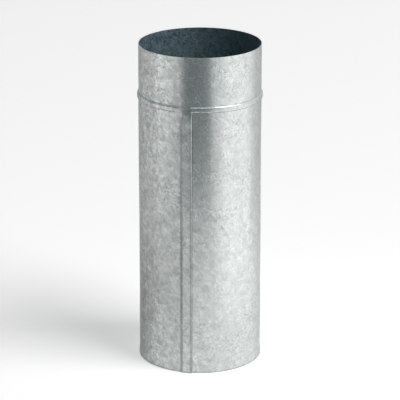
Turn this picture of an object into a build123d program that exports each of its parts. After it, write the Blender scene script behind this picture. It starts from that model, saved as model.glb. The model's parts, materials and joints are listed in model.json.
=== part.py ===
"""Galvanised sheet-steel pipe, standing on its socket end, in millimetres with +Z up.

One sheet is rolled into a tube and closed down its length by a grooved lock seam: each edge of the
sheet is bent back into a hook, the hooks are engaged, and the lock is pressed so that it stands
outside and leaves the bore flush. A flat-crested bead is rolled round the pipe below its top end and
stops on each side of the lock, which is dressed down there. Above the bead a slightly smaller plain
collar slides into the foot of the next pipe, up to the bead. The foot is eased out to take a collar,
and its mouth is belled.

The origin is on the pipe's axis at the foot, and the lock faces -Y.
"""

from build123d import *

import os
from math import cos, degrees, hypot, radians, sin

# Sheet
sheet = 0.5                 # thickness of the galvanised sheet

# Tube
pipe_length = 333.0         # foot to top rim
body_diameter = 125.0       # outside, between the foot and the bead

# Foot
bell_depth = 11.0           # height of the belled mouth
bell_growth = 0.7           # how far the mouth's edge stands out past the socket, on the radius
socket_depth = 50.0         # height of the stretch that takes another pipe's collar
socket_growth = 0.3         # how far the socket stands out past the body, on the radius
socket_ease = 30.0          # height over which the socket runs back to the body

# Bead and collar
bead_width = 5.8            # along the pipe, at the body's surface
bead_height = 1.2           # of the flat crest above the body, and the radius of its shoulders
collar_length = 50.0        # plain end above the bead
collar_reduction = 0.3      # how far the collar stands inside the body, on the radius

# Lock seam
lock_width = 12.0           # foot of the ramp to the edge of the fold
ramp_run = 2.2              # width over which the outer sheet climbs on to the lock
layer_gap = 0.08            # left between the pressed layers
hook_play = 0.3             # between a hook's free edge and the bend that it sits in
run_out = 16.0              # height over which the lock is dressed down, ending at the collar
press_land = 1.0            # height of that stretch that is pressed level before it slopes
bead_lap = 1.0              # how far the bead runs on to the dressed ramp
lock_bearing = -90.0        # degrees from +X to the middle of the lock

overrun = 1.0               # how far a cut passes the surface that it opens

# Radii and heights that follow
body_radius = body_diameter / 2
bore_radius = body_radius - sheet
sheet_middle = body_radius - sheet / 2
collar_radius = body_radius - collar_reduction
bead_top = pipe_length - collar_length
bead_bottom = bead_top - bead_width
dress_foot = bead_top - run_out                    # where the lock starts to come down
inside_wall = (bore_radius + collar_radius) / 2    # lies within both the body's and the collar's wall

# Places across the lock, from its middle, positive to the right as seen from outside
layer_pitch = sheet + layer_gap
bend_radius = layer_pitch                          # of a hook, at the middle of the sheet
bend_outside = bend_radius + sheet / 2
bend_inside = bend_radius - sheet / 2
lock_rise = 3 * layer_pitch                        # two layers of each edge make four in all
ramp_foot = -lock_width / 2
ramp_head = ramp_foot + ramp_run
outer_bend = lock_width / 2 - bend_outside         # centre of the hook on the edge that climbs
ramp_slope = hypot(ramp_run, lock_rise)
inner_bend = ramp_foot + (ramp_run + 2 * ramp_slope) / 3    # keeps one layer_gap from the ramp
outer_edge = inner_bend + hook_play
inner_edge = outer_bend - hook_play

# Edges of the bead's flat crest, where its quarter-round shoulders start
crest_low = bead_bottom + bead_height
crest_high = bead_top - bead_height


def bearing(across):
    """Angle in degrees of a place across the lock."""
    return lock_bearing + degrees(across / sheet_middle)


def at(across, radius):
    """Point at a place across the lock and a distance from the pipe's axis."""
    angle = radians(bearing(across))
    return (radius * cos(angle), radius * sin(angle))


def along(start, end, radius):
    """Arc about the pipe's axis between two places across the lock."""
    return CenterArc((0, 0), radius, bearing(start), bearing(end) - bearing(start))


def round_the_pipe(start, end, radius):
    """Arc about the pipe's axis from start, the long way round to the left, to end."""
    return CenterArc((0, 0), radius, bearing(start), bearing(end) - bearing(start) - 360)


def bend(across, centre_radius, radius, side):
    """Half circle of a hook from its inner to its outer layer, on the right (1) or the left (-1)."""
    return CenterArc(at(across, centre_radius), radius, bearing(across) + 180, -side * 180)


def rolled_sheet(growth, height):
    """Cross-section of the rolled and hooked sheet, grown by growth on the radius."""
    middle = sheet_middle + growth
    half = sheet / 2
    inside, outside = middle - half, middle + half
    second, third, fourth = (middle + layer_pitch * layer for layer in (1, 2, 3))
    outline = [
        # outer face of the climbing edge, from its free end round the hook and down the ramp
        along(outer_edge, outer_bend, second - half),
        bend(outer_bend, third, bend_outside, 1),
        along(outer_bend, ramp_head, fourth + half),
        Line(at(ramp_head, fourth + half), at(ramp_foot, outside)),
        round_the_pipe(ramp_foot, inner_bend, outside),
        # hook of the other edge, which lies inside the first
        bend(inner_bend, second, bend_inside, -1),
        along(inner_bend, inner_edge, third - half),
        Line(at(inner_edge, third - half), at(inner_edge, third + half)),
        along(inner_edge, inner_bend, third + half),
        bend(inner_bend, second, bend_outside, -1),
        # bore, and the inner face of the climbing edge
        round_the_pipe(ramp_foot, inner_bend, inside),
        Line(at(ramp_foot, inside), at(ramp_head, fourth - half)),
        along(ramp_head, outer_bend, fourth - half),
        bend(outer_bend, third, bend_inside, 1),
        along(outer_bend, outer_edge, second + half),
        Line(at(outer_edge, second + half), at(outer_edge, second - half)),
    ]
    return Pos(Z=height) * make_face(outline)


def seamed_tube():
    """Foot and body, from the belled mouth up to where the lock is dressed down."""
    mouth = socket_growth + bell_growth
    return loft(
        [
            rolled_sheet(mouth, 0),
            rolled_sheet(socket_growth, bell_depth),
            rolled_sheet(socket_growth, socket_depth),
            rolled_sheet(0, socket_depth + socket_ease),
            rolled_sheet(0, dress_foot),
        ],
        ruled=True,
    )


def turned(outline, start=0.0, sweep=360.0):
    """Solid turned about the pipe's axis from an outline of (radius, height) edges or points."""
    return Rot(Z=start) * revolve(Plane.XZ * make_face(outline), Axis.Z, sweep)


def collar():
    """Closed tube from the dressed end of the lock to the top rim, drawn in behind the bead."""
    return turned(
        Polyline(
            (bore_radius, dress_foot),
            (body_radius, dress_foot),
            (body_radius, bead_bottom),
            (collar_radius, bead_top),
            (collar_radius, pipe_length),
            (collar_radius - sheet, pipe_length),
            (collar_radius - sheet, bead_top),
            (bore_radius, bead_bottom),
            close=True,
        )
    )


def dressed_lock():
    """Top end of the lock, pressed solid and sloping down past the bead to the collar."""
    half = sheet / 2
    crown = sheet_middle + lock_rise + half
    hook = sheet_middle + 2 * layer_pitch
    fall = (crown - collar_radius) / (run_out - press_land)
    outline = [
        Line(at(ramp_foot, inside_wall), at(ramp_foot, body_radius)),
        Line(at(ramp_foot, body_radius), at(ramp_head, crown)),
        along(ramp_head, outer_bend, crown),
        bend(outer_bend, hook, bend_outside, 1),
        Line(at(outer_bend, hook - bend_outside), at(outer_bend, inside_wall)),
        along(outer_bend, ramp_foot, inside_wall),
    ]
    block = Pos(Z=dress_foot) * extrude(make_face(outline), run_out)
    slope = turned(
        Polyline(
            (0, dress_foot),
            (crown + fall * press_land, dress_foot),
            (collar_radius, bead_top),
            (0, bead_top),
            close=True,
        )
    )
    return block & slope


def bead_ring(shoulder, floor, right_end, left_end):
    """Ring between two places across the lock, with a flat crest, round shoulders and a floor radius."""
    crest = body_radius + shoulder
    low, high = crest_low - shoulder, crest_high + shoulder
    outline = [
        Line((floor, low), (body_radius, low)),
        CenterArc((body_radius, crest_low), shoulder, -90, 90),
        Line((crest, crest_low), (crest, crest_high)),
        CenterArc((body_radius, crest_high), shoulder, 0, 90),
        Line((body_radius, high), (floor, high)),
        Line((floor, high), (floor, low)),
    ]
    sweep = 360 - (bearing(right_end) - bearing(left_end))
    return turned(outline, bearing(right_end), sweep)


def pipe():
    """The whole pipe as one piece of sheet."""
    bead_left = ramp_foot + bead_lap
    fold_edge = outer_bend + bend_outside
    bead = bead_ring(bead_height, inside_wall, outer_bend, bead_left)
    bore_floor = collar_radius - sheet - overrun
    hollow = bead_ring(bead_height - sheet, bore_floor, fold_edge + sheet, bead_left - sheet)
    return seamed_tube() + collar() + dressed_lock() + bead - hollow


os.makedirs("parts", exist_ok=True)
export_step(pipe(), "parts/seamed_pipe.step")
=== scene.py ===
"""Finished look of a galvanised sheet-steel pipe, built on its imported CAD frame.

The pipe is one sheet, rolled into a tube and closed down its length by a lock seam of two engaged
hooks. The wall is drawn as a line round the foot and raised through the pipe's heights, the lock is
laid on it, and the thin space between the folded layers is cut out again. The tube is then pulled
slightly out of true, as thin sheet is, and gets its zinc.
"""

import json
from math import atan2, cos, hypot, pi, radians, sin, tau

import bmesh
import bpy
from bpy.props import FloatProperty, PointerProperty, StringProperty
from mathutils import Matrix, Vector


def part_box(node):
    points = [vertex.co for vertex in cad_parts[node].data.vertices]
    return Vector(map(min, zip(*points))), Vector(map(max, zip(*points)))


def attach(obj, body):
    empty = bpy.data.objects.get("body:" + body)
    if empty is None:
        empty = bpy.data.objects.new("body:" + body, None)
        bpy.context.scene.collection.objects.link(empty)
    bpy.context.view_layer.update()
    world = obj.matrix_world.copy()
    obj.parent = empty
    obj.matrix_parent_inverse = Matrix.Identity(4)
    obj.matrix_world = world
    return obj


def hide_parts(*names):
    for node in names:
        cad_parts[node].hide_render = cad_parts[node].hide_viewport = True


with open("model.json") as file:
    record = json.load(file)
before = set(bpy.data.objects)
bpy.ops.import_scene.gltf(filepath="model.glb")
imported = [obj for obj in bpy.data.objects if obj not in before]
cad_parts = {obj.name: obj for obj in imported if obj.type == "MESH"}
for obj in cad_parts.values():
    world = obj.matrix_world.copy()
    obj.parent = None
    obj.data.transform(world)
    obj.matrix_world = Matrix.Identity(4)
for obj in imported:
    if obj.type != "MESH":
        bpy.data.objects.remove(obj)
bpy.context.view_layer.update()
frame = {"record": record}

bl_info = {
    "name": "Lock-Seamed Sheet Pipe",
    "version": (1, 0, 0),
    "blender": (4, 5, 0),
    "location": "View3D > Sidebar > Pipe",
    "description": "Rolls a galvanised pipe with a lock seam, a bead and a socket foot",
    "category": "Object",
}

# The frame's part
NODE = "seamed_pipe"
BODY = "root"
mounts = {mount["name"]: mount for mount in frame["record"]["mounts"]}
collar_mount = mounts["collar"]["dims"]
socket_mount = mounts["foot_socket"]["dims"]
socket_middle = mounts["foot_socket"]["pos_m"][2]

MM = 0.001
AXIS = Vector((0.0, 0.0, 0.0))
UP = Vector((0.0, 0.0, 1.0))
WHITE = "#FFFFFF"

# Steps of the drawn and raised lines
ARC_STEP = 1.0 * MM         # along an arc of the lock
LEVEL_STEP = 5.0 * MM       # between heights
ROUND_STEPS = 240           # round the pipe
HOOK_STEPS = 16             # round a hook's bend
SHOULDER_STEPS = 8          # over a shoulder of the bead
DRESS_STEPS = 12            # up the lock's dressed end
FLOOR_SIDES = 240           # round the floor

# Room that joins and cuts need: each part starts at its own depth, so that no two faces coincide
OVERRUN = 1.0 * MM              # how far below the floor the wall starts
LOCK_OVERRUN = 0.8 * OVERRUN    # the same for the lock
SPACE_OVERRUN = 1.2 * OVERRUN   # the same for the space between its layers
HAIR = 0.02 * MM                # too thin to see
TOUCH = HAIR / 4                # points nearer to each other than this are one

# Shape of the sheet
LAYERS_UP = 3                   # the lock's outermost layer lies this many layers above the wall
GROOVE_PLACE = 0.6              # from the ramp's head to the first groove, in groove widths
DRESS_LEFT = 0.02               # share of the lock's height that is left at the collar
WARP_STRETCH = 1.3              # size of the waves in Y, against that of the waves in X
SMOOTH_ANGLE = radians(14.0)    # edges sharper than this stay crisp
INWARD = -0.5                   # a face looks to the axis if less than this of its normal is outward

# Pattern of the zinc
FEATHER_LEAN = -0.7             # radians by which the fine growth leans
FEATHER_DRAW = 2.0              # length of that growth, in widths
SPANGLE_BEND = 0.7              # how far that growth bends a crystal's edge, in crystal widths
VEIN_LEVEL = 0.5                # level of the growth at which a vein runs
VEIN_WIDTH = 0.05               # change of level from the vein's middle to its edge
VEIN_CLOUDS = (0.4, 0.6)        # levels of the cloud between which the veins come in
VEIN_SHARE = 0.55               # how much a full vein darkens the tone
TONE_WEIGHTS = (0.3, 0.2, 1.2, 0.9)     # of cloud, crystal, blotch and feather in the colour
RELIEF_WEIGHTS = (0.3, 0.2, 1.0, 0.4)   # and in the relief
LIVELY_LEFT = 1.4               # strength of the pattern on the pipe's left side
LIVELY_RIGHT = 0.7              # and on its right side

# Painted shade lines along the creases and at the foot, with widths in creases and heights as shares of
# the pipe's length
PAINTED_SHADE_SHARE = 0.46             # how much of the crease colour the painted shade takes
RAMP_REACH = 2.4                # from the ramp's middle to where its painted shade band ends
RAMP_CORE = 1.3                 # from the ramp's middle to where that band starts to fade
FOLD_REACH = 2.4                # from the fold's bend to the edge of its wide line
FOOT_REACH = 3.0                # height of the painted shade line at the foot
LOW_START = 0.55                # the fold's wide line is whole up to this height
LOW_END = 0.72                  # and gone at this one
LOCK_EDGE = 0.1                 # level of the lock's own mask at which the bead's lines are gone

# Stage
TILT_SIDE = 0.25                # metres from the axis at which the floor's change of glow is whole
TILT_REACH = 0.8                # metres from the axis at which that change ends
CEILING_EDGE = -0.4             # cosine of the angle from the ceiling's middle at which it has faded
SENSOR_WIDTH = 36.0             # of the camera, in millimetres


def length(name, default, description):
    """Property for a length in metres."""
    return FloatProperty(
        name=name, description=description, default=default, unit="LENGTH", precision=5
    )


def turning(name, default, description):
    """Property for an angle, whose default is given in degrees."""
    return FloatProperty(
        name=name, description=description, default=radians(default), subtype="ANGLE"
    )


def strength(name, default, description):
    """Property for a brightness, where 1 shows as white."""
    return FloatProperty(name=name, description=description, default=default, min=0.0)


def share(name, default, description):
    """Property for a share of a whole."""
    return FloatProperty(
        name=name, description=description, default=default, min=0.0, max=1.0, subtype="FACTOR"
    )


def tint(name, default, description):
    """Property for an sRGB hex colour."""
    return StringProperty(name=name, description=description + ", sRGB hex", default=default)


class PipeSizes(bpy.types.PropertyGroup):
    """Sizes of the pipe's rolled sheet"""

    sheet: length("Sheet", 0.5 * MM, "Thickness of the galvanised sheet")
    pipe_length: length("Length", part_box(NODE)[1].z, "Foot to top rim")
    body_radius: length("Body radius", 62.5 * MM, "Outside, between the foot and the bead")
    mouth_growth: length("Mouth growth", 1.0 * MM, "How far the mouth's edge stands past the body")
    bell_depth: length(
        "Bell depth",
        socket_middle - socket_mount["length_mm"] * MM / 2,
        "Height of the belled mouth",
    )
    socket_bore: length("Socket bore", socket_mount["r_mm"] * MM, "Inside radius of the socket")
    socket_depth: length(
        "Socket depth",
        socket_middle + socket_mount["length_mm"] * MM / 2,
        "Height of the stretch that takes another pipe's collar",
    )
    socket_ease: length("Socket ease", 30.0 * MM, "Height over which the socket runs to the body")
    bead_width: length("Bead width", 5.8 * MM, "Along the pipe, at the body's surface")
    bead_height: length("Bead height", 1.2 * MM, "Of the flat crest above the body")
    shoulder_ease: length("Shoulder ease", 0.7 * MM, "Extra height of the bead's upper shoulder")
    collar_length: length(
        "Collar length", collar_mount["length_mm"] * MM, "Plain end above the bead"
    )
    collar_radius: length("Collar radius", collar_mount["r_mm"] * MM, "Outside of the plain end")
    lock_width: length("Lock width", 12.0 * MM, "Foot of the ramp to the edge of the fold")
    ramp_run: length("Ramp run", 2.2 * MM, "Width over which the outer sheet climbs on the lock")
    layer_gap: length("Layer gap", 0.08 * MM, "Left between the pressed layers")
    hook_play: length("Hook play", 0.3 * MM, "Between a hook's free edge and the bend it sits in")
    run_out: length("Run-out", 16.0 * MM, "Height over which the lock is dressed down")
    bead_lap: length("Bead lap", 1.0 * MM, "How far the bead runs on to the dressed ramp")
    crown_fall: length("Crown fall", 0.45 * MM, "How far the crown falls from the fold to the ramp")
    groove_width: length("Groove width", 0.9 * MM, "Of the pressed lines along the lock's crown")
    groove_depth: length("Groove depth", 0.15 * MM, "Of the pressed lines along the lock's crown")
    warp: length("Warp", 0.5 * MM, "Depth of the slow waves in the thin wall")
    warp_span: length("Warp span", 70.0 * MM, "Size of the slow waves")


class PipeFinish(bpy.types.PropertyGroup):
    """Look of the pipe's zinc coat"""

    pale_zinc: tint("Pale zinc", "#DFE2E1", "Brightest patches outside")
    dull_zinc: tint("Dull zinc", "#A3A7A6", "Darkest patches outside")
    outer_roughness: share("Outer roughness", 0.22, "Of the brightest patches outside")
    outer_metal: share("Outer metal", 0.78, "How much of the outer coat shines as bare metal")
    # painted shade: the bore's colours are a darker, bluer copy of the outer zinc, for the shade and the
    # light bounced round inside the tube
    bore_shade_pale: tint("Inner pale", "#93ABB4", "Brightest patches in the bore")
    bore_shade_dull: tint("Inner dull", "#4E6169", "Darkest patches in the bore")
    inner_roughness: share("Inner roughness", 0.42, "Of the brightest patches in the bore")
    inner_metal: share("Inner metal", 0.4, "How much of the bore's coat shines as bare metal")
    patch_roughness: share("Patch roughness", 0.12, "How much rougher the darkest patches are")
    edge_shine: share("Edge shine", 0.55, "How bright the coat is where it turns out of sight")
    # painted shade: colour of the dark lines along the creases, at the foot and at the bead's edges
    crease_shade_zinc: tint("Crease zinc", "#5A6263", "Dull lines along the creases")
    blotch: length("Blotch", 8.5 * MM, "Width of the cloudy patches in the zinc")
    feather: length("Feather", 2.4 * MM, "Width of the fine growth in a patch")
    spangle: length("Spangle", 4.0 * MM, "Width of one zinc crystal")
    vein: length("Vein", 4.5 * MM, "Distance between the dark lines where crystals meet")
    cloud: length("Cloud", 32.0 * MM, "Width of the slow changes in the coat")
    relief: length("Relief", 0.07 * MM, "Height of the coat's relief")
    # reach of those painted shade lines
    crease: length("Crease", 0.8 * MM, "Reach of the dull line on each side of a crease")


class PipeStage(bpy.types.PropertyGroup):
    """Camera, floor and lights, with the lights' bearings taken from the camera to the right"""

    lens: FloatProperty(
        name="Lens", description="Focal length in millimetres", default=198.9, unit="CAMERA"
    )
    distance: length("Distance", 2.274, "From the camera to the point on the axis that it faces")
    aim_height: length("Aim height", 0.166, "Height of that point")
    bearing: turning("Bearing", 12.9, "How far the camera stands round from the lock")
    elevation: turning("Elevation", 18.48, "Camera's height above the horizon, from that point")
    floor_colour: tint("Floor", "#FBFBFA", "Pale floor")
    backdrop_colour: tint("Backdrop", "#F4F4F3", "Pale wall past the floor")
    floor_glow: strength("Floor glow", 0.52, "White that the floor adds for the eye and in the metal")
    floor_reach: length("Floor reach", 6.0, "From the pipe's axis to the floor's edge")
    glow_right: strength("Glow right", 0.4, "How much more the floor on the right shows in the metal")
    glow_left: strength("Glow left", 0.19, "How much less the floor on the left shows in the metal")
    front_reach: length("Front reach", 0.62, "How far floor shows in the metal in the dim front")
    front_bearing: turning("Front bearing", -6.0, "Middle of the dim front")
    front_angle: turning("Front angle", 54.0, "Angle of the dim front")
    room: strength("Room", 0.02, "Brightness of the unlit room")
    far_wall: strength("Far wall", 0.06, "Brightness of the room's far walls in the metal")
    ceiling: strength("Ceiling", 2.0, "Brightness of the pale ceiling in the metal")
    ceiling_colour: tint("Ceiling colour", "#DCE6E9", "Cool white of the room")
    ceiling_bearing: turning("Ceiling bearing", 155.0, "Middle of the ceiling")
    ceiling_elevation: turning("Ceiling elevation", 57.0, "Middle of the ceiling above the floor")
    key_box: strength("Key box", 5.3, "Brightness of the high soft box on the right")
    key_width: length("Key width", 5.6, "Width and height of the high soft box")
    key_distance: length("Key distance", 9.0, "From the high soft box to the pipe's foot")
    key_bearing: turning("Key bearing", 62.0, "Middle of the high soft box")
    key_elevation: turning("Key elevation", 47.0, "High soft box above the floor")
    front_card: strength("Front card", 0.15, "Brightness of the card in the dim front")
    front_colour: tint("Front colour", "#BFDDE4", "Cool grey of that card")
    front_width: length("Front width", 1.0, "Width of that card")
    front_height: length("Front height", 0.5, "Height of that card")
    front_middle: length("Front middle", 0.17, "Height of that card's middle")
    front_distance: length("Front distance", 0.8, "From that card to the pipe's axis")
    left_card: strength("Left card", 0.46, "Brightness of the card on the left")
    left_width: length("Left width", 0.6, "Width of the card on the left")
    left_height: length("Left height", 0.36, "Height of the card on the left")
    left_distance: length("Left distance", 0.9, "From the card on the left to the pipe's axis")
    left_bearing: turning("Left bearing", -72.0, "Middle of the card on the left")
    side_box: strength("Side box", 0.48, "Brightness of the standing soft box on the right")
    side_width: length("Side width", 0.42, "Width of the standing soft box")
    side_height: length("Side height", 0.36, "Height of the standing soft box")
    side_distance: length("Side distance", 0.33, "From the standing soft box to the pipe's axis")
    side_bearing: turning("Side bearing", 70.0, "Middle of the standing soft box")


def linear(hex_colour):
    """Linear RGBA of an sRGB hex colour."""
    channels = [int(hex_colour[place : place + 2], 16) / 255 for place in (1, 3, 5)]
    return [
        channel / 12.92 if channel <= 0.04045 else ((channel + 0.055) / 1.055) ** 2.4
        for channel in channels
    ] + [1.0]


def add_node(tree, kind, inputs=None, **settings):
    """Adds a node with its settings; an input is a value, or another node's output to link."""
    node = tree.nodes.new(kind)
    for name, value in settings.items():
        setattr(node, name, value)
    for name, value in (inputs or {}).items():
        if isinstance(value, bpy.types.NodeSocket):
            tree.links.new(value, node.inputs[name])
        else:
            node.inputs[name].default_value = value
    return node


class LockPlan:
    """Where the folded layers of the lock lie: places across it and distances from the axis."""

    def __init__(self, sizes):
        pitch = sizes.sheet + sizes.layer_gap
        climb = LAYERS_UP * pitch
        self.half = sizes.sheet / 2
        self.wall = sizes.body_radius - self.half
        self.second, self.third, self.fourth = (self.wall + pitch * n for n in (1, 2, 3))
        self.crown = self.fourth + self.half
        self.ramp_foot = -sizes.lock_width / 2
        self.ramp_head = self.ramp_foot + sizes.ramp_run
        self.ramp_middle = self.ramp_foot + sizes.ramp_run / 2
        self.ramp_lean = sizes.ramp_run / climb
        bend_outside = pitch + self.half
        self.outer_bend = sizes.lock_width / 2 - bend_outside
        # this keeps the inner hook one layer gap from the ramp
        self.inner_bend = self.ramp_foot + (sizes.ramp_run + 2 * hypot(sizes.ramp_run, climb)) / 3
        self.outer_edge = self.inner_bend + sizes.hook_play
        self.inner_edge = self.outer_bend - sizes.hook_play
        self.grooves = (
            self.ramp_head + sizes.groove_width * GROOVE_PLACE,
            self.outer_bend - sizes.groove_width,
        )
        self.fold_foot = sizes.lock_width / 2 + sizes.groove_width / 2

    def at(self, across, radius):
        """Point at a place across the lock and a distance from the axis."""
        angle = across / self.wall - pi / 2
        return Vector((radius * cos(angle), radius * sin(angle), 0.0))

    def turn(self, start, end):
        """Angle about the axis between two places across the lock."""
        return (end - start) / self.wall

    def across(self, point):
        """Place across the lock of a point, from minus to plus half the way round."""
        return atan2(point.x, -point.y) * self.wall


def spaced(start, end):
    """Heights from start to end, both included, about a level step apart."""
    count = max(1, round((end - start) / LEVEL_STEP))
    return [start + (end - start) * n / count for n in range(count + 1)]


class WallPlan:
    """Heights through which the sheet is raised, and the middle of the sheet at each."""

    def __init__(self, sizes):
        half = sizes.sheet / 2
        self.wall = sizes.body_radius - half
        self.collar = sizes.collar_radius - half
        self.body = sizes.body_radius
        self.top = sizes.pipe_length
        self.bead_top = sizes.pipe_length - sizes.collar_length
        self.bead_bottom = self.bead_top - sizes.bead_width
        self.dress_foot = self.bead_top - sizes.run_out
        self.shoulder = sizes.bead_height - half
        self.shoulder_ease = sizes.shoulder_ease
        self.crest_low = self.bead_bottom + sizes.bead_height
        self.crest_high = self.bead_top - sizes.bead_height - sizes.shoulder_ease
        socket = sizes.socket_bore + sizes.sheet - sizes.body_radius
        bell_slope = (sizes.mouth_growth - socket) / sizes.bell_depth
        self.marks = [
            (-OVERRUN, sizes.mouth_growth + OVERRUN * bell_slope),
            (sizes.bell_depth, socket),
            (sizes.socket_depth, socket),
            (sizes.socket_depth + sizes.socket_ease, 0.0),
            (self.bead_bottom, 0.0),
        ]

    def scale(self, height):
        """Size of the cross-section at a height, against the body's."""
        for (low, start), (high, end) in zip(self.marks, self.marks[1:]):
            if height <= high:
                growth = start + (end - start) * (height - low) / (high - low)
                return (self.wall + growth) / self.wall
        return 1.0

    def body_heights(self):
        """Heights above the start, from the foot up to the bottom of the bead."""
        heights = []
        for (low, _), (high, _) in zip(self.marks, self.marks[1:]):
            heights += spaced(low, high)[1:]
        return heights

    def bead_levels(self):
        """Height, crest-side radius and plain radius of each line of points over the bead."""
        outline = []
        shoulders = (
            (self.crest_low, self.shoulder, -pi / 2),
            (self.crest_high, self.shoulder + self.shoulder_ease, 0.0),
        )
        for middle, tallness, start in shoulders:
            for step in range(SHOULDER_STEPS + 1):
                angle = start + pi / 2 * step / SHOULDER_STEPS
                rise = tallness * sin(angle)
                outline.append((middle + rise, self.body + self.shoulder * cos(angle)))
        outline.append((self.bead_top, self.collar))
        return [(height, crest, self.plain(height)) for height, crest in outline]

    def plain(self, height):
        """Middle of the sheet beside the bead, drawn in over the bead's width to the collar."""
        climbed = (height - self.bead_bottom) / (self.bead_top - self.bead_bottom)
        return self.wall + (self.collar - self.wall) * max(0.0, climbed)


def start_line(name, spot, height):
    """Starts a piece as one point of a drawn line, open for editing."""
    bpy.ops.object.select_all(action="DESELECT")
    bpy.ops.mesh.primitive_plane_add(size=1.0)
    piece = bpy.context.object
    piece.name = name
    piece.data.name = name
    bpy.ops.object.mode_set(mode="EDIT")
    bpy.ops.mesh.select_all(action="SELECT")
    bpy.ops.mesh.merge(type="CENTER")
    bpy.ops.transform.translate(value=(spot.x, spot.y, height))
    return piece


def pen():
    """Point that the drawn line has reached, or a point of what is selected."""
    mesh = bmesh.from_edit_mesh(bpy.context.object.data)
    return next(vert.co.copy() for vert in mesh.verts if vert.select)


def line_to(spot):
    """Draws a straight stroke."""
    here = pen()
    step = (spot.x - here.x, spot.y - here.y, 0.0)
    bpy.ops.mesh.extrude_region_move(TRANSFORM_OT_translate={"value": step})


def turn_about(centre, angle, steps):
    """Draws an arc about a centre, to the left where the angle is positive."""
    middle = (centre.x, centre.y, pen().z)
    bpy.ops.mesh.spin(steps=steps, angle=-angle, center=middle, axis=UP)


def arc_along(lock, start, end, steps=None):
    """Draws an arc about the pipe's axis between two places across the lock."""
    turn_about(AXIS, lock.turn(start, end), steps or max(1, round(abs(end - start) / ARC_STEP)))


def close_line():
    """Joins the ends of the drawn line and leaves all of it selected."""
    bpy.ops.mesh.select_all(action="SELECT")
    bpy.ops.mesh.remove_doubles(threshold=TOUCH)


def grow_from_axis(scale):
    """Moves what is selected in or out from the axis."""
    bpy.ops.transform.resize(value=(scale, scale, 1.0), center_override=AXIS)


def raise_to(height, scale):
    """Extrudes what is selected up to a height, and in or out from the axis."""
    climb = (0.0, 0.0, height - pen().z)
    bpy.ops.mesh.extrude_region_move(TRANSFORM_OT_translate={"value": climb})
    grow_from_axis(scale)


def select_points(piece, wanted):
    """Selects the wanted points and nothing else."""
    mesh = bmesh.from_edit_mesh(piece.data)
    for vert in mesh.verts:
        vert.select_set(wanted(vert.co))
    mesh.select_flush_mode()
    bmesh.update_edit_mesh(piece.data)


def press_towards(piece, floor, new_floor, keep):
    """Presses the selected points down towards a floor radius, which may change on the way."""
    mesh = bmesh.from_edit_mesh(piece.data)
    for vert in mesh.verts:
        if vert.select:
            radius = hypot(vert.co.x, vert.co.y)
            scale = (new_floor + (radius - floor) * keep) / radius
            vert.co.x *= scale
            vert.co.y *= scale
    bmesh.update_edit_mesh(piece.data)


def face_outwards():
    """Turns every face of the open piece outwards and leaves edit mode."""
    bpy.ops.mesh.select_all(action="SELECT")
    bpy.ops.mesh.normals_make_consistent(inside=False)
    bpy.ops.object.mode_set(mode="OBJECT")


def apply_modifier(piece, kind, **settings):
    """Adds a modifier to a piece and applies it."""
    modifier = piece.modifiers.new(kind.lower(), kind)
    for name, value in settings.items():
        setattr(modifier, name, value)
    bpy.ops.object.select_all(action="DESELECT")
    piece.select_set(True)
    bpy.context.view_layer.objects.active = piece
    bpy.ops.object.modifier_apply(modifier=modifier.name)


def combine(piece, tool, operation):
    """Joins a tool piece to a piece or cuts it away, and removes the tool."""
    apply_modifier(piece, "BOOLEAN", object=tool, operation=operation, solver="MANIFOLD")
    bpy.data.meshes.remove(tool.data)


def raise_section(wall, foot, top):
    """Raises a drawn cross-section from the foot through the wall's heights to a top."""
    scale = wall.scale(foot)
    heights = [height for height in wall.body_heights() if foot < height < top - LEVEL_STEP / 2]
    for height in heights + [top]:
        raise_to(height, wall.scale(height) / scale)
        scale = wall.scale(height)


def rolled_wall(lock, wall, sizes):
    """The sheet as a plain tube with its bead, which stops on each side of the lock."""
    right_low, right_high = lock.outer_bend - sizes.sheet, lock.outer_bend
    left_low = lock.ramp_foot + sizes.bead_lap
    left_high = left_low - sizes.sheet
    foot = -OVERRUN
    piece = start_line(NODE, lock.at(right_low, wall.wall * wall.scale(foot)), foot)
    arc_along(lock, right_low, right_high, 1)
    arc_along(lock, right_high, left_high + tau * lock.wall, ROUND_STEPS)
    arc_along(lock, left_high, left_low, 1)
    arc_along(lock, left_low, right_low)
    close_line()
    raise_section(wall, foot, wall.bead_bottom)

    def beaded(point):
        across = lock.across(point)
        return across > right_high - HAIR or across < left_high + HAIR

    def unbeaded(point):
        return not beaded(point)

    crest = plain = wall.wall
    for height, next_crest, next_plain in wall.bead_levels():
        raise_to(height, 1.0)
        for stretch, growth in ((beaded, next_crest / crest), (unbeaded, next_plain / plain)):
            select_points(piece, lambda point: abs(point.z - height) < TOUCH and stretch(point))
            grow_from_axis(growth)
        select_points(piece, lambda point: abs(point.z - height) < TOUCH)
        crest, plain = next_crest, next_plain
    for height in spaced(wall.bead_top, wall.top)[1:]:
        raise_to(height, 1.0)
    face_outwards()
    apply_modifier(
        piece, "SOLIDIFY", thickness=sizes.sheet, offset=0.0, use_even_offset=True
    )
    return piece


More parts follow.
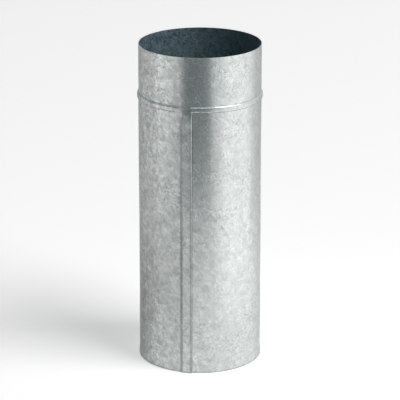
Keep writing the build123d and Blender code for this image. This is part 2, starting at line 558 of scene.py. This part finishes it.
def folded_lock(lock, wall, sizes):
    """The lock as one bar, rooted in the wall and dressed down to the collar at its top."""
    foot = -LOCK_OVERRUN
    scale = wall.scale(foot)
    buried = lock.ramp_foot - lock.half * lock.ramp_lean
    piece = start_line("lock", lock.at(buried, lock.wall) * scale, foot)
    line_to(lock.at(lock.ramp_head, lock.crown - sizes.crown_fall) * scale)
    for groove, fall in zip(lock.grooves, (sizes.crown_fall, 0.0)):
        for offset, depth in ((-0.5, 0.0), (0.0, sizes.groove_depth), (0.5, 0.0)):
            spot = groove + offset * sizes.groove_width
            line_to(lock.at(spot, lock.crown - fall - depth) * scale)
    arc_along(lock, spot, lock.outer_bend)
    turn_about(lock.at(lock.outer_bend, lock.third) * scale, pi, HOOK_STEPS)
    line_to(lock.at(lock.outer_bend, lock.wall) * scale)
    arc_along(lock, lock.outer_bend, buried)
    close_line()
    bpy.ops.mesh.edge_face_add()
    raise_section(wall, foot, wall.dress_foot)
    kept, floor = 1.0, wall.wall
    for step in range(1, DRESS_STEPS + 1):
        climbed = step / DRESS_STEPS
        height = wall.dress_foot + sizes.run_out * climbed
        # half a straight slope and half one that is eased at both ends
        eased = (1.0 + cos(pi * climbed)) / 2
        keep = DRESS_LEFT + (1.0 - DRESS_LEFT) * (1.0 - climbed + eased) / 2
        raise_to(height, 1.0)
        press_towards(piece, floor, wall.plain(height), keep / kept)
        kept, floor = keep, wall.plain(height)
    face_outwards()
    return piece


def lock_space(lock, wall):
    """The thin space between the folded layers, open to the outside and to the bore."""
    foot = -SPACE_OVERRUN
    scale = wall.scale(foot)
    mouth = lock.outer_bend + lock.half
    below = lock.half
    bore = lock.wall - lock.half - below
    piece = start_line("lock_space", lock.at(mouth, lock.wall + lock.half + HAIR) * scale, foot)
    arc_along(lock, mouth, lock.inner_bend)
    turn_about(lock.at(lock.inner_bend, lock.second) * scale, pi, HOOK_STEPS)
    arc_along(lock, lock.inner_bend, lock.inner_edge)
    line_to(lock.at(lock.inner_edge, lock.third + lock.half) * scale)
    arc_along(lock, lock.inner_edge, lock.inner_bend)
    turn_about(lock.at(lock.inner_bend, lock.second) * scale, -pi, HOOK_STEPS)
    line_to(lock.at(lock.inner_bend, bore) * scale)
    line_to(lock.at(lock.ramp_foot - below * lock.ramp_lean, bore) * scale)
    line_to(lock.at(lock.ramp_head, lock.fourth - lock.half) * scale)
    arc_along(lock, lock.ramp_head, lock.outer_bend)
    turn_about(lock.at(lock.outer_bend, lock.third) * scale, pi, HOOK_STEPS)
    arc_along(lock, lock.outer_bend, lock.outer_edge)
    line_to(lock.at(lock.outer_edge, lock.second - lock.half) * scale)
    arc_along(lock, lock.outer_edge, mouth)
    line_to(lock.at(mouth, lock.wall + lock.half + HAIR) * scale)
    close_line()
    bpy.ops.mesh.edge_face_add()
    raise_section(wall, foot, wall.dress_foot)
    face_outwards()
    return piece


def trim_foot(piece):
    """Cuts the foot level with the floor and closes the cut."""
    bpy.ops.object.mode_set(mode="EDIT")
    bpy.ops.mesh.select_all(action="SELECT")
    bpy.ops.mesh.bisect(
        plane_co=AXIS, plane_no=UP, use_fill=True, clear_inner=True, threshold=TOUCH
    )
    bpy.ops.object.mode_set(mode="OBJECT")


def pull_out_of_true(piece, sizes):
    """Puts slow waves in the thin wall."""
    for side, span in (("X", sizes.warp_span), ("Y", sizes.warp_span * WARP_STRETCH)):
        waves = bpy.data.textures.new("waves_" + side.lower(), "CLOUDS")
        waves.noise_scale = span
        waves.noise_depth = 0
        apply_modifier(
            piece,
            "DISPLACE",
            texture=waves,
            texture_coords="LOCAL",
            direction=side,
            strength=sizes.warp,
        )


def line_at(tree, value, place, reach, core):
    """Mask that is 1 about a place along a value, out to its core, and falls to 0 at its reach."""
    away = add_node(tree, "ShaderNodeMath", {0: value, 1: place}, operation="SUBTRACT")
    away = add_node(tree, "ShaderNodeMath", {0: away.outputs[0]}, operation="ABSOLUTE")
    mask = add_node(
        tree,
        "ShaderNodeMapRange",
        {
            "Value": away.outputs[0],
            "From Min": core,
            "From Max": reach,
            "To Min": 1.0,
            "To Max": 0.0,
        },
        interpolation_type="SMOOTHSTEP",
    )
    return mask.outputs["Result"]


def mixed_layers(tree, layers, weights):
    """Sum of weighted layers, each about a half, that stays about a half."""
    total = 0.5 - sum(weights) / 2
    for layer, weight in zip(layers, weights):
        total = add_node(
            tree, "ShaderNodeMath", {0: layer, 1: weight, 2: total}, operation="MULTIPLY_ADD"
        ).outputs[0]
    return total


def painted_shade_mask(tree, place, finish, lock, wall):
    """Where shade is painted into the zinc: dark lines along the lock's edges, beside the bead and at
    the foot.
    """
    axes = add_node(tree, "ShaderNodeSeparateXYZ", {"Vector": place}).outputs
    front = add_node(tree, "ShaderNodeMath", {0: axes["Y"], 1: -1.0}, operation="MULTIPLY")
    angle = add_node(
        tree, "ShaderNodeMath", {0: axes["X"], 1: front.outputs[0]}, operation="ARCTAN2"
    )
    across = add_node(
        tree, "ShaderNodeMath", {0: angle.outputs[0], 1: lock.wall}, operation="MULTIPLY"
    ).outputs[0]
    height = axes["Z"]

    # stretches in which a line shows: each mask is 1 at its start and falls to 0 at its end
    stretches = {
        "low": (height, wall.top * LOW_START, wall.top * LOW_END),
        "below the bead": (height, wall.bead_bottom - LEVEL_STEP, wall.bead_bottom),
        "left": (axes["X"], -finish.cloud, finish.cloud),
        "beside the lock": (line_at(tree, across, 0.0, lock.fold_foot, 0.0), 0.0, LOCK_EDGE),
    }
    shown = {}
    for name, (value, start, end) in stretches.items():
        shown[name] = add_node(
            tree,
            "ShaderNodeMapRange",
            {"Value": value, "From Min": start, "From Max": end, "To Min": 1.0, "To Max": 0.0},
        ).outputs["Result"]
    shown["high"] = add_node(
        tree, "ShaderNodeMath", {0: 1.0, 1: shown["low"]}, operation="SUBTRACT"
    ).outputs[0]

    # each line's middle, reach and core along a value, and the stretches in which it shows
    reach = finish.crease
    lines = (
        (across, lock.ramp_middle, reach * RAMP_REACH, reach * RAMP_CORE, ["below the bead"]),
        (across, lock.grooves[1], reach, 0.0, ["below the bead"]),
        (across, lock.outer_bend, reach * FOLD_REACH, 0.0, ["below the bead", "low"]),
        (across, lock.fold_foot, reach, 0.0, ["below the bead", "high"]),
        # painted shade: the bead's upper edge is darkened on the left alone, where it mirrors the dim
        # room
        (height, wall.bead_top, reach, 0.0, ["beside the lock", "left"]),
        (height, wall.bead_bottom, reach, 0.0, ["beside the lock"]),
        (height, 0.0, reach * FOOT_REACH, 0.0, []),
    )
    most = 0.0
    for value, middle, end, core, names in lines:
        mask = line_at(tree, value, middle, end, core)
        for name in names:
            mask = add_node(
                tree, "ShaderNodeMath", {0: mask, 1: shown[name]}, operation="MULTIPLY"
            ).outputs[0]
        most = add_node(tree, "ShaderNodeMath", {0: most, 1: mask}, operation="MAXIMUM").outputs[0]
    return most


def galvanised_steel(name, pale, dull, roughness, metal, finish, lock, wall):
    """Hot-dip galvanised sheet steel, with its zinc as it froze."""
    # The zinc froze in crystals a few millimetres wide. That gives the eye a soft grey shine in cloudy
    # patches, pale where the crystals are smooth and dull where they are rough, with darker veins where
    # they meet. The growth inside a real crystal is some tenths of a millimetre wide and its relief some
    # hundredths high, too fine to show in the render, so both are drawn several times as coarse.
    steel = bpy.data.materials.new(name)
    steel.use_nodes = True
    tree = steel.node_tree
    tree.nodes.clear()
    place = add_node(tree, "ShaderNodeTexCoord").outputs["Object"]
    drawn = add_node(
        tree,
        "ShaderNodeMapping",
        {
            "Vector": place,
            "Rotation": (0.0, FEATHER_LEAN, 0.0),
            "Scale": (1.0, 1.0, FEATHER_DRAW),
        },
        vector_type="TEXTURE",
    ).outputs["Vector"]
    feather = add_node(
        tree,
        "ShaderNodeTexNoise",
        {"Vector": drawn, "Scale": 1.0 / finish.feather, "Detail": 3.0, "Roughness": 0.6},
    )
    blotch = add_node(
        tree,
        "ShaderNodeTexNoise",
        {
            "Vector": place,
            "Scale": 1.0 / finish.blotch,
            "Detail": 4.0,
            "Roughness": 0.62,
            "Distortion": 0.8,
        },
    )
    bent = add_node(
        tree,
        "ShaderNodeVectorMath",
        {0: feather.outputs["Color"], 1: (finish.spangle * SPANGLE_BEND,) * 3, 2: place},
        operation="MULTIPLY_ADD",
    )
    crystal = add_node(
        tree,
        "ShaderNodeTexVoronoi",
        {"Vector": bent.outputs[0], "Scale": 1.0 / finish.spangle, "Smoothness": 1.0},
        feature="SMOOTH_F1",
    )
    grain = add_node(tree, "ShaderNodeSeparateColor", {"Color": crystal.outputs["Color"]})
    cloud = add_node(
        tree,
        "ShaderNodeTexNoise",
        {"Vector": place, "Scale": 1.0 / finish.cloud, "Detail": 2.0},
    )
    growth = add_node(
        tree,
        "ShaderNodeTexNoise",
        {"Vector": place, "Scale": 1.0 / finish.vein, "Detail": 1.5, "Distortion": 0.6},
    )
    veined = add_node(
        tree,
        "ShaderNodeMapRange",
        {
            "Value": cloud.outputs["Fac"],
            "From Min": VEIN_CLOUDS[0],
            "From Max": VEIN_CLOUDS[1],
            "To Max": VEIN_SHARE,
        },
    )
    veins = add_node(
        tree,
        "ShaderNodeMath",
        {
            0: line_at(tree, growth.outputs["Fac"], VEIN_LEVEL, VEIN_WIDTH, 0.0),
            1: veined.outputs["Result"],
        },
        operation="MULTIPLY",
    )
    layers = [
        cloud.outputs["Fac"],
        grain.outputs["Red"],
        blotch.outputs["Fac"],
        feather.outputs["Fac"],
    ]
    tone = mixed_layers(tree, layers, TONE_WEIGHTS)
    height = mixed_layers(tree, layers, RELIEF_WEIGHTS)
    tone = add_node(
        tree, "ShaderNodeMath", {0: tone, 1: veins.outputs[0]}, operation="SUBTRACT"
    ).outputs[0]

    # the pattern is livelier on the left side of the pipe
    sides = add_node(tree, "ShaderNodeSeparateXYZ", {"Vector": place}).outputs
    lively = add_node(
        tree,
        "ShaderNodeMapRange",
        {
            "Value": sides["X"],
            "From Min": -finish.cloud,
            "From Max": finish.cloud,
            "To Min": LIVELY_LEFT,
            "To Max": LIVELY_RIGHT,
        },
    ).outputs["Result"]
    apart = add_node(tree, "ShaderNodeMath", {0: tone, 1: 0.5}, operation="SUBTRACT")
    tone = add_node(
        tree,
        "ShaderNodeMath",
        {0: apart.outputs[0], 1: lively, 2: 0.5},
        operation="MULTIPLY_ADD",
    ).outputs[0]
    zinc = add_node(
        tree,
        "ShaderNodeMix",
        {"Factor": tone, "A": linear(dull), "B": linear(pale)},
        data_type="RGBA",
    )
    # painted shade: the crease colour is mixed into the zinc where the shade mask lies
    shade_amount = add_node(
        tree,
        "ShaderNodeMath",
        {0: painted_shade_mask(tree, place, finish, lock, wall), 1: PAINTED_SHADE_SHARE},
        operation="MULTIPLY",
    )
    shaded_zinc = add_node(
        tree,
        "ShaderNodeMix",
        {
            "Factor": shade_amount.outputs[0],
            "A": zinc.outputs["Result"],
            "B": linear(finish.crease_shade_zinc),
        },
        data_type="RGBA",
    )
    rough = add_node(
        tree,
        "ShaderNodeMapRange",
        {"Value": tone, "To Min": roughness + finish.patch_roughness, "To Max": roughness},
    )
    relief = add_node(
        tree,
        "ShaderNodeBump",
        {"Height": height, "Distance": finish.relief, "Strength": lively},
    )
    shader = add_node(
        tree,
        "ShaderNodeBsdfPrincipled",
        {
            "Base Color": shaded_zinc.outputs["Result"],
            "Metallic": metal,
            "Specular Tint": (finish.edge_shine,) * 3 + (1.0,),
            "Roughness": rough.outputs["Result"],
            "Normal": relief.outputs["Normal"],
        },
    )
    add_node(tree, "ShaderNodeOutputMaterial", {"Surface": shader.outputs["BSDF"]})
    return steel


def coat_zinc(piece, finish, lock, wall):
    """Gives the sheet its zinc, with painted shade in the bore: a darker, bluer coat on the faces that
    look to the axis.
    """
    coats = (
        # outside, the zinc shines softly and mirrors the floor and the lights as blurred bands
        (
            "galvanised_steel",
            finish.pale_zinc,
            finish.dull_zinc,
            finish.outer_roughness,
            finish.outer_metal,
        ),
        # in the bore it is duller, and painted darker and bluer for the shade and the light bounced
        # round inside the tube
        (
            "galvanised_bore",
            finish.bore_shade_pale,
            finish.bore_shade_dull,
            finish.inner_roughness,
            finish.inner_metal,
        ),
    )
    piece.data.materials.clear()
    for coat in coats:
        piece.data.materials.append(galvanised_steel(*coat, finish, lock, wall))
    for face in piece.data.polygons:
        outward = Vector((face.center.x, face.center.y, 0.0)).normalized()
        face.material_index = int(face.normal.dot(outward) < INWARD)


class PIPE_OT_roll_pipe(bpy.types.Operator):
    """Rolls, seams and beads the sheet"""

    bl_idname = "pipe.roll_pipe"
    bl_label = "Roll Pipe"

    def execute(self, context):
        sizes = context.scene.pipe_sizes
        lock = LockPlan(sizes)
        wall = WallPlan(sizes)
        piece = rolled_wall(lock, wall, sizes)
        combine(piece, folded_lock(lock, wall, sizes), "UNION")
        combine(piece, lock_space(lock, wall), "DIFFERENCE")
        trim_foot(piece)
        pull_out_of_true(piece, sizes)
        bpy.ops.object.shade_smooth_by_angle(angle=SMOOTH_ANGLE)
        piece.name = "pipe"
        coat_zinc(piece, context.scene.pipe_finish, lock, wall)
        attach(piece, BODY)
        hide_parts(NODE)
        return {"FINISHED"}


def direction(bearing, elevation=0.0):
    """Unit vector towards a bearing, from -Y towards +X, and an elevation."""
    flat = cos(elevation)
    return Vector((sin(bearing) * flat, -cos(bearing) * flat, sin(elevation)))


def pale_floor(stage):
    """Matt white board, so pale that only the shadow shows on it."""
    # The board glows for the camera and in the metal alone. In the metal it is brighter on the right of
    # the pipe than on the left, and in the dim front it gives way to the dark room past its reach.
    board = bpy.data.materials.new("white_board")
    board.use_nodes = True
    tree = board.node_tree
    tree.nodes.clear()
    ray = add_node(tree, "ShaderNodeLightPath").outputs
    place = add_node(tree, "ShaderNodeTexCoord").outputs["Object"]
    away = add_node(tree, "ShaderNodeVectorMath", {0: place}, operation="LENGTH")
    side = add_node(
        tree,
        "ShaderNodeVectorMath",
        {0: place, 1: direction(stage.bearing + pi / 2)},
        operation="DOT_PRODUCT",
    )
    tilt = add_node(
        tree,
        "ShaderNodeMapRange",
        {
            "Value": side.outputs["Value"],
            "From Min": -TILT_SIDE,
            "From Max": TILT_SIDE,
            "To Min": -stage.glow_left,
            "To Max": stage.glow_right,
        },
    )
    near = add_node(
        tree,
        "ShaderNodeMapRange",
        {
            "Value": away.outputs["Value"],
            "From Min": TILT_SIDE,
            "From Max": TILT_REACH,
            "To Min": 1.0,
            "To Max": 0.0,
        },
    )
    mirrored = add_node(
        tree,
        "ShaderNodeMath",
        {0: tilt.outputs["Result"], 1: near.outputs["Result"], 2: stage.floor_glow},
        operation="MULTIPLY_ADD",
    )
    seen = add_node(
        tree,
        "ShaderNodeMath",
        {0: ray["Is Camera Ray"], 1: stage.floor_glow},
        operation="MULTIPLY",
    )
    glow = add_node(
        tree,
        "ShaderNodeMath",
        {0: ray["Is Glossy Ray"], 1: mirrored.outputs[0], 2: seen.outputs[0]},
        operation="MULTIPLY_ADD",
    )
    shader = add_node(
        tree,
        "ShaderNodeBsdfPrincipled",
        {
            "Base Color": linear(stage.floor_colour),
            "Roughness": 0.9,
            "Specular IOR Level": 0.1,
            "Emission Color": linear(WHITE),
            "Emission Strength": glow.outputs[0],
        },
    )
    outwards = add_node(tree, "ShaderNodeVectorMath", {0: place}, operation="NORMALIZE")
    forwards = add_node(
        tree,
        "ShaderNodeVectorMath",
        {0: outwards.outputs["Vector"], 1: direction(stage.bearing + stage.front_bearing)},
        operation="DOT_PRODUCT",
    )
    in_front = add_node(
        tree,
        "ShaderNodeMath",
        {0: forwards.outputs["Value"], 1: cos(stage.front_angle / 2)},
        operation="GREATER_THAN",
    )
    beyond = add_node(
        tree,
        "ShaderNodeMath",
        {0: away.outputs["Value"], 1: stage.front_reach},
        operation="GREATER_THAN",
    )
    dim_front = add_node(
        tree,
        "ShaderNodeMath",
        {0: in_front.outputs[0], 1: beyond.outputs[0]},
        operation="MULTIPLY",
    )
    unseen = add_node(
        tree,
        "ShaderNodeMath",
        {0: dim_front.outputs[0], 1: ray["Is Glossy Ray"]},
        operation="MULTIPLY",
    )
    clear = add_node(tree, "ShaderNodeBsdfTransparent")
    shown = add_node(
        tree,
        "ShaderNodeMixShader",
        {0: unseen.outputs[0], 1: shader.outputs["BSDF"], 2: clear.outputs["BSDF"]},
    )
    add_node(tree, "ShaderNodeOutputMaterial", {"Surface": shown.outputs["Shader"]})
    return board


def studio_room(stage):
    """Dim room with a pale ceiling behind the pipe, and pale where the camera sees past the floor."""
    world = bpy.data.worlds.new("studio_room")
    world.use_nodes = True
    tree = world.node_tree
    tree.nodes.clear()
    facing = add_node(
        tree,
        "ShaderNodeVectorMath",
        {
            0: add_node(tree, "ShaderNodeTexCoord").outputs["Generated"],
            1: direction(stage.bearing + stage.ceiling_bearing, stage.ceiling_elevation),
        },
        operation="DOT_PRODUCT",
    )
    light = add_node(
        tree,
        "ShaderNodeMapRange",
        {
            "Value": facing.outputs["Value"],
            "From Min": CEILING_EDGE,
            "To Min": stage.far_wall,
            "To Max": stage.ceiling,
        },
    )
    ray = add_node(tree, "ShaderNodeLightPath").outputs
    dim = add_node(
        tree,
        "ShaderNodeMix",
        {"Factor": ray["Is Glossy Ray"], "A": stage.room, "B": light.outputs["Result"]},
    )
    room = add_node(
        tree,
        "ShaderNodeBackground",
        {"Color": linear(stage.ceiling_colour), "Strength": dim.outputs["Result"]},
    )
    backdrop = add_node(tree, "ShaderNodeBackground", {"Color": linear(stage.backdrop_colour)})
    shown = add_node(
        tree,
        "ShaderNodeMixShader",
        {
            0: ray["Is Camera Ray"],
            1: room.outputs["Background"],
            2: backdrop.outputs["Background"],
        },
    )
    add_node(tree, "ShaderNodeOutputWorld", {"Surface": shown.outputs["Shader"]})
    return world


def soft_box(name, place, aim, size, brightness, colour=WHITE):
    """Soft box that faces a point and shows in the metal at a brightness, where 1 is white."""
    width, height = size
    bpy.ops.object.light_add(type="AREA", location=place)
    lamp = bpy.context.object
    lamp.name = name
    lamp.data.shape = "RECTANGLE"
    lamp.data.size = width
    lamp.data.size_y = height
    lamp.data.energy = brightness * pi * width * height
    lamp.data.color = linear(colour)[:3]
    lamp.rotation_mode = "QUATERNION"
    lamp.rotation_quaternion = (place - aim).to_track_quat("Z", "Y")


def standing_box(name, bearing, distance, middle, size, brightness, colour=WHITE):
    """Upright soft box at a bearing, which faces the pipe's axis at the height of its own middle."""
    waist = UP * middle
    soft_box(name, waist + direction(bearing) * distance, waist, size, brightness, colour)


class PIPE_OT_set_stage(bpy.types.Operator):
    """Lays the floor and sets the lights and the camera"""

    bl_idname = "pipe.set_stage"
    bl_label = "Set Stage"

    def execute(self, context):
        scene = context.scene
        stage = scene.pipe_stage
        bpy.ops.object.select_all(action="DESELECT")
        bpy.ops.mesh.primitive_circle_add(
            vertices=FLOOR_SIDES, radius=stage.floor_reach, fill_type="NGON"
        )
        floor = context.object
        floor.name = "floor"
        floor.data.materials.append(pale_floor(stage))

        scene.world = studio_room(stage)
        key = direction(stage.bearing + stage.key_bearing, stage.key_elevation)
        soft_box(
            "key_box",
            key * stage.key_distance,
            AXIS,
            (stage.key_width, stage.key_width),
            stage.key_box,
        )
        standing_box(
            "front_card",
            stage.bearing + stage.front_bearing,
            stage.front_distance,
            stage.front_middle,
            (stage.front_width, stage.front_height),
            stage.front_card,
            stage.front_colour,
        )
        standing_box(
            "left_card",
            stage.bearing + stage.left_bearing,
            stage.left_distance,
            stage.left_height / 2,
            (stage.left_width, stage.left_height),
            stage.left_card,
        )
        standing_box(
            "side_box",
            stage.bearing + stage.side_bearing,
            stage.side_distance,
            stage.side_height / 2,
            (stage.side_width, stage.side_height),
            stage.side_box,
        )

        back = direction(stage.bearing, stage.elevation)
        bpy.ops.object.camera_add(location=UP * stage.aim_height + back * stage.distance)
        camera = context.object
        camera.rotation_mode = "QUATERNION"
        camera.rotation_quaternion = back.to_track_quat("Z", "Y")
        camera.data.lens = stage.lens
        camera.data.sensor_width = SENSOR_WIDTH
        scene.camera = camera
        scene.view_settings.view_transform = "Standard"
        return {"FINISHED"}


class PIPE_PT_sidebar(bpy.types.Panel):
    """Lists the pipe's steps and settings"""

    bl_label = "Pipe"
    bl_idname = "PIPE_PT_sidebar"
    bl_space_type = "VIEW_3D"
    bl_region_type = "UI"
    bl_category = "Pipe"

    def draw(self, context):
        for operator, settings in STEPS:
            self.layout.operator(operator.bl_idname)
            for group in settings:
                box = self.layout.box()
                owner = getattr(context.scene, group)
                for name in owner.bl_rna.properties.keys():
                    if name not in ("name", "rna_type"):
                        box.prop(owner, name)


STEPS = (
    (PIPE_OT_roll_pipe, ("pipe_sizes", "pipe_finish")),
    (PIPE_OT_set_stage, ("pipe_stage",)),
)
GROUPS = {"pipe_sizes": PipeSizes, "pipe_finish": PipeFinish, "pipe_stage": PipeStage}
CLASSES = (*GROUPS.values(), *(step[0] for step in STEPS), PIPE_PT_sidebar)


def register():
    for made in CLASSES:
        bpy.utils.register_class(made)
    for name, group in GROUPS.items():
        setattr(bpy.types.Scene, name, PointerProperty(type=group))


def unregister():
    for name in GROUPS:
        delattr(bpy.types.Scene, name)
    for made in reversed(CLASSES):
        bpy.utils.unregister_class(made)


def main():
    register()
    bpy.ops.pipe.roll_pipe()
    bpy.ops.pipe.set_stage()


if __name__ == "__main__":
    main()
